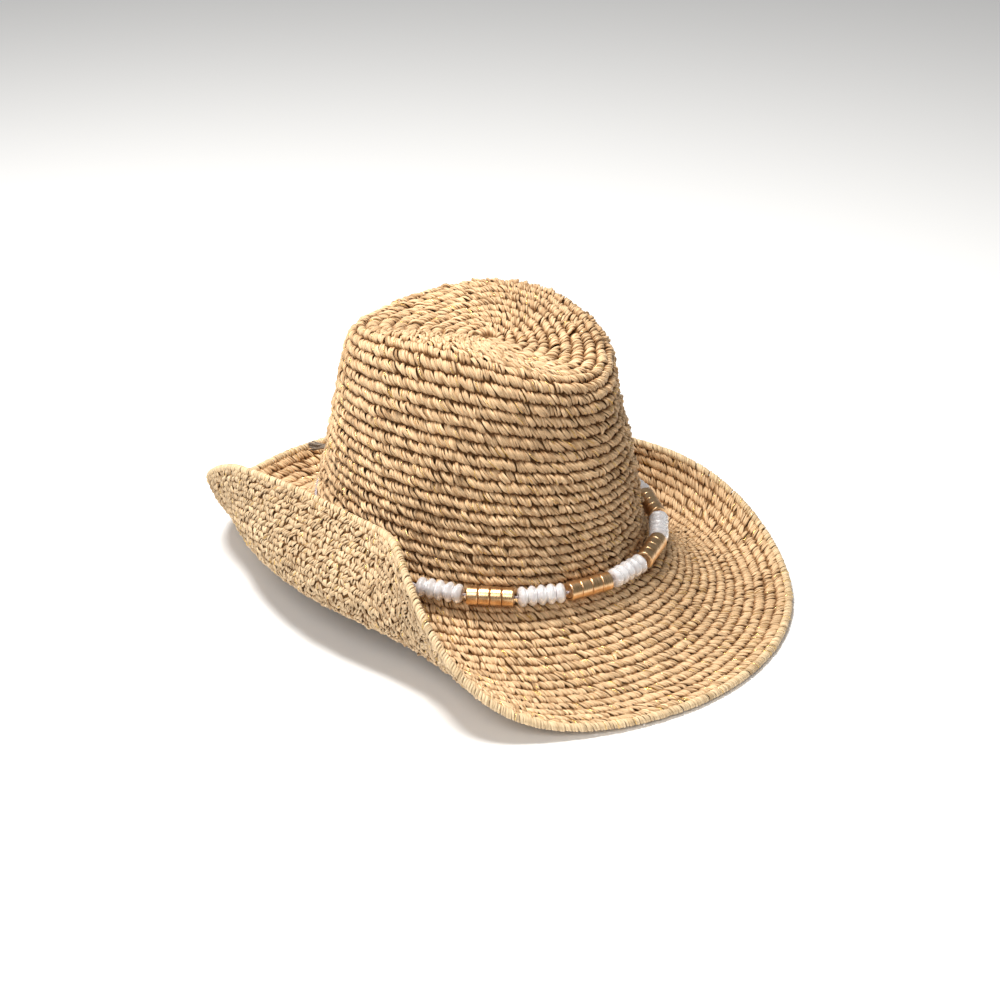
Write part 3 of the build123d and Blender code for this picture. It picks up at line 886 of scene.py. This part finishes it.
back = []
first_back = corner_phis[-1] / D + 17
last_back = corner_phis[0] / D + 360 - 17
for k in range(19):
    back.append(band_pt((first_back + (last_back - first_back) * k / 18) * D, 0.9, BAND_UP))
knot_at = band_pt(180 * D, KNOT_R + 0.9, BAND_UP)
left_run = [p for p in back if p[0] - BASE[0] > KNOT_R + 4]
right_run = [p for p in back if p[0] - BASE[0] < -(KNOT_R + 4)]
route = [knot_at - [KNOT_R * 0.6, 0, 0]] + right_run + corners + left_run + [knot_at + [KNOT_R * 0.6, 0, 0]]
M_CORD = thread_material("hatband_cord", (0.36, 0.30, 0.30), (0.60, 0.53, 0.55))
M_KNOT = thread_material("hatband_knot", (0.15, 0.115, 0.085), (0.34, 0.275, 0.215))
finish_piece(twisted(route, 0.5, 0.42, 0.5, 4.2, 2, "hatband_cord_look"), M_CORD, "hatband", ["hatband_cord"])


def knot():
    t = np.linspace(0, 2 * math.pi, 121)
    x = np.sin(t) + 2 * np.sin(2 * t)
    z = np.cos(t) - 2 * np.cos(2 * t)
    y = -np.sin(3 * t)
    p = knot_at + np.stack([x * 0.78, y * 0.95, z * 0.62], -1)
    q, s = resample(p, 0.35)
    tan = np.gradient(q, axis=0)
    tan /= np.linalg.norm(tan, axis=1, keepdims=True)
    up = q - knot_at
    up -= tan * (up * tan).sum(1)[:, None]
    up /= np.linalg.norm(up, axis=1, keepdims=True) + 1e-9
    sd = np.cross(tan, up)
    mids, nr = [], []
    for k in range(2):
        a = s / 3.6 * 2 * math.pi + k * math.pi
        o = sd * np.cos(a)[:, None] + up * np.sin(a)[:, None]
        mids.append(q + o * 0.42)
        nr.append(o)
    mid, nr = np.stack(mids), np.stack(nr)
    r = np.full(mid.shape[:2], 0.62)
    return tubes("hatband_knot_look", mid, nr, r, r, np.array([0.3, 0.7]), np.ones(mid.shape[:2]), R=8)


finish_piece(knot(), M_KNOT, "hatband", ["hatband_knot"])


def tail(name, way, rise, length, thick, flare, n):
    """A short twisted end that opens into frayed fibres."""
    d = np.array(way, float)
    d /= np.linalg.norm(d)
    a = knot_at + d * (KNOT_R * 0.4)
    b = knot_at + d * (length * 0.55) + np.array([0, 0, rise])
    c = knot_at + d * length + np.array([0, 0, rise * 0.6])
    T = 16
    t = np.linspace(0, 1, T)[:, None]
    mid = (1 - t) ** 2 * a + 2 * t * (1 - t) * b + t * t * c
    ang = rng.uniform(0, 2 * math.pi, n)
    rr = np.sqrt(rng.random(n))
    sd = np.cross(d, [0, 0, 1.0])
    sd /= np.linalg.norm(sd)
    up = np.cross(sd, d)
    open_end = smooth((t[:, 0] - 0.62) / 0.38)
    spread = thick + (flare - thick) * open_end
    tw = ang[:, None] + t[:, 0][None, :] * 6.0 * (1 - 0.35 * open_end)[None, :]
    o = (sd * np.cos(tw)[..., None] + up * np.sin(tw)[..., None]) * (rr[:, None] * spread[None, :])[..., None]
    ln = 1 - 0.16 * rng.random(n)
    m = np.stack([np.stack([np.interp(t[:, 0] * l, t[:, 0], mid[:, k]) for k in range(3)], -1) for l in ln]) + o
    nr = np.broadcast_to(np.array([0, 0, 1.0]), m.shape)
    r = np.full(m.shape[:2], 0.36)
    return tubes(name + "_look", m, nr, r, r, rng.random(n), np.ones(m.shape[:2]), R=6)


finish_piece(tail("hatband_tail_left", (0.75, 0.62, 0.0), 1.2, 13.0, 1.2, 2.0, 26), M_KNOT, "hatband", ["hatband_tail_left"])
finish_piece(tail("hatband_tail_right", (-0.45, 0.88, 0.0), 2.4, 21.0, 1.5, 3.0, 44), M_KNOT, "hatband", ["hatband_tail_right"])

# ---------------------------------------------------------------- floor, light, camera
bpy.ops.mesh.primitive_plane_add(size=6.0, location=(0, 0, 0))
floor = bpy.context.object
floor.name = "floor"
fm, fnt, fb = material("floor")
fb.inputs["Base Color"].default_value = (0.95, 0.95, 0.95, 1)
fb.inputs["Emission Color"].default_value = (1, 1, 1, 1)
fb.inputs["Emission Strength"].default_value = 0.06
fb.inputs["Roughness"].default_value = 0.9
fb.inputs["Specular IOR Level"].default_value = 0.05
floor.data.materials.append(fm)

scene = bpy.context.scene
scene.view_settings.view_transform = "Standard"
world = bpy.data.worlds.new("studio")
scene.world = world
world.use_nodes = True
bg = world.node_tree.nodes["Background"]
bg.inputs["Color"].default_value = (1, 1, 1, 1)
bg.inputs["Strength"].default_value = 0.20


def area_light(name, place, aim, size, power, colour=(1, 1, 1)):
    d = bpy.data.lights.new(name, "AREA")
    d.shape = "DISK"
    d.size = size
    d.energy = power
    d.color = colour
    o = bpy.data.objects.new(name, d)
    scene.collection.objects.link(o)
    o.location = place
    o.rotation_euler = (Vector(aim) - Vector(place)).to_track_quat("-Z", "Y").to_euler()
    return o


az, el = Q["az"] * D, Q["el"] * D
back = np.array([math.sin(az) * math.cos(el), -math.cos(az) * math.cos(el), math.sin(el)])
right = np.array([math.cos(az), math.sin(az), 0.0])
upv = np.cross(back, right)
# soft top light a little to the left, and a wide soft box low at the front left, as the camera sees the hat
key = np.array([0, 0, 0.08]) - right * 0.30 + back * 0.05 + np.array([0, 0, 1.28])
area_light("key", tuple(key), (0, 0, 0.06), 0.42, 26.0, (1.0, 0.985, 0.955))
front = np.array([0, 0, 0.08]) - right * 0.35 + back * 1.15 + np.array([0, 0, 0.45])
area_light("front", tuple(front), (0, 0, 0.08), 0.6, 6.5, (1.0, 0.99, 0.97))

tgt = np.array([0, 0, 40.0]) + right * Q["tx"] + upv * Q["tz"]
pos = (tgt + back * Q["dist"] + BASE) * MM
cam = bpy.data.cameras.new("camera")
cam.sensor_width = 36.0
cam.lens = Q["f"] / 1000.0 * 36.0
cam.clip_start, cam.clip_end = 0.01, 20.0
co = bpy.data.objects.new("camera", cam)
scene.collection.objects.link(co)
rot = Matrix((right, upv, back)).transposed()
co.matrix_world = Matrix.Translation(pos) @ rot.to_4x4()
scene.camera = co
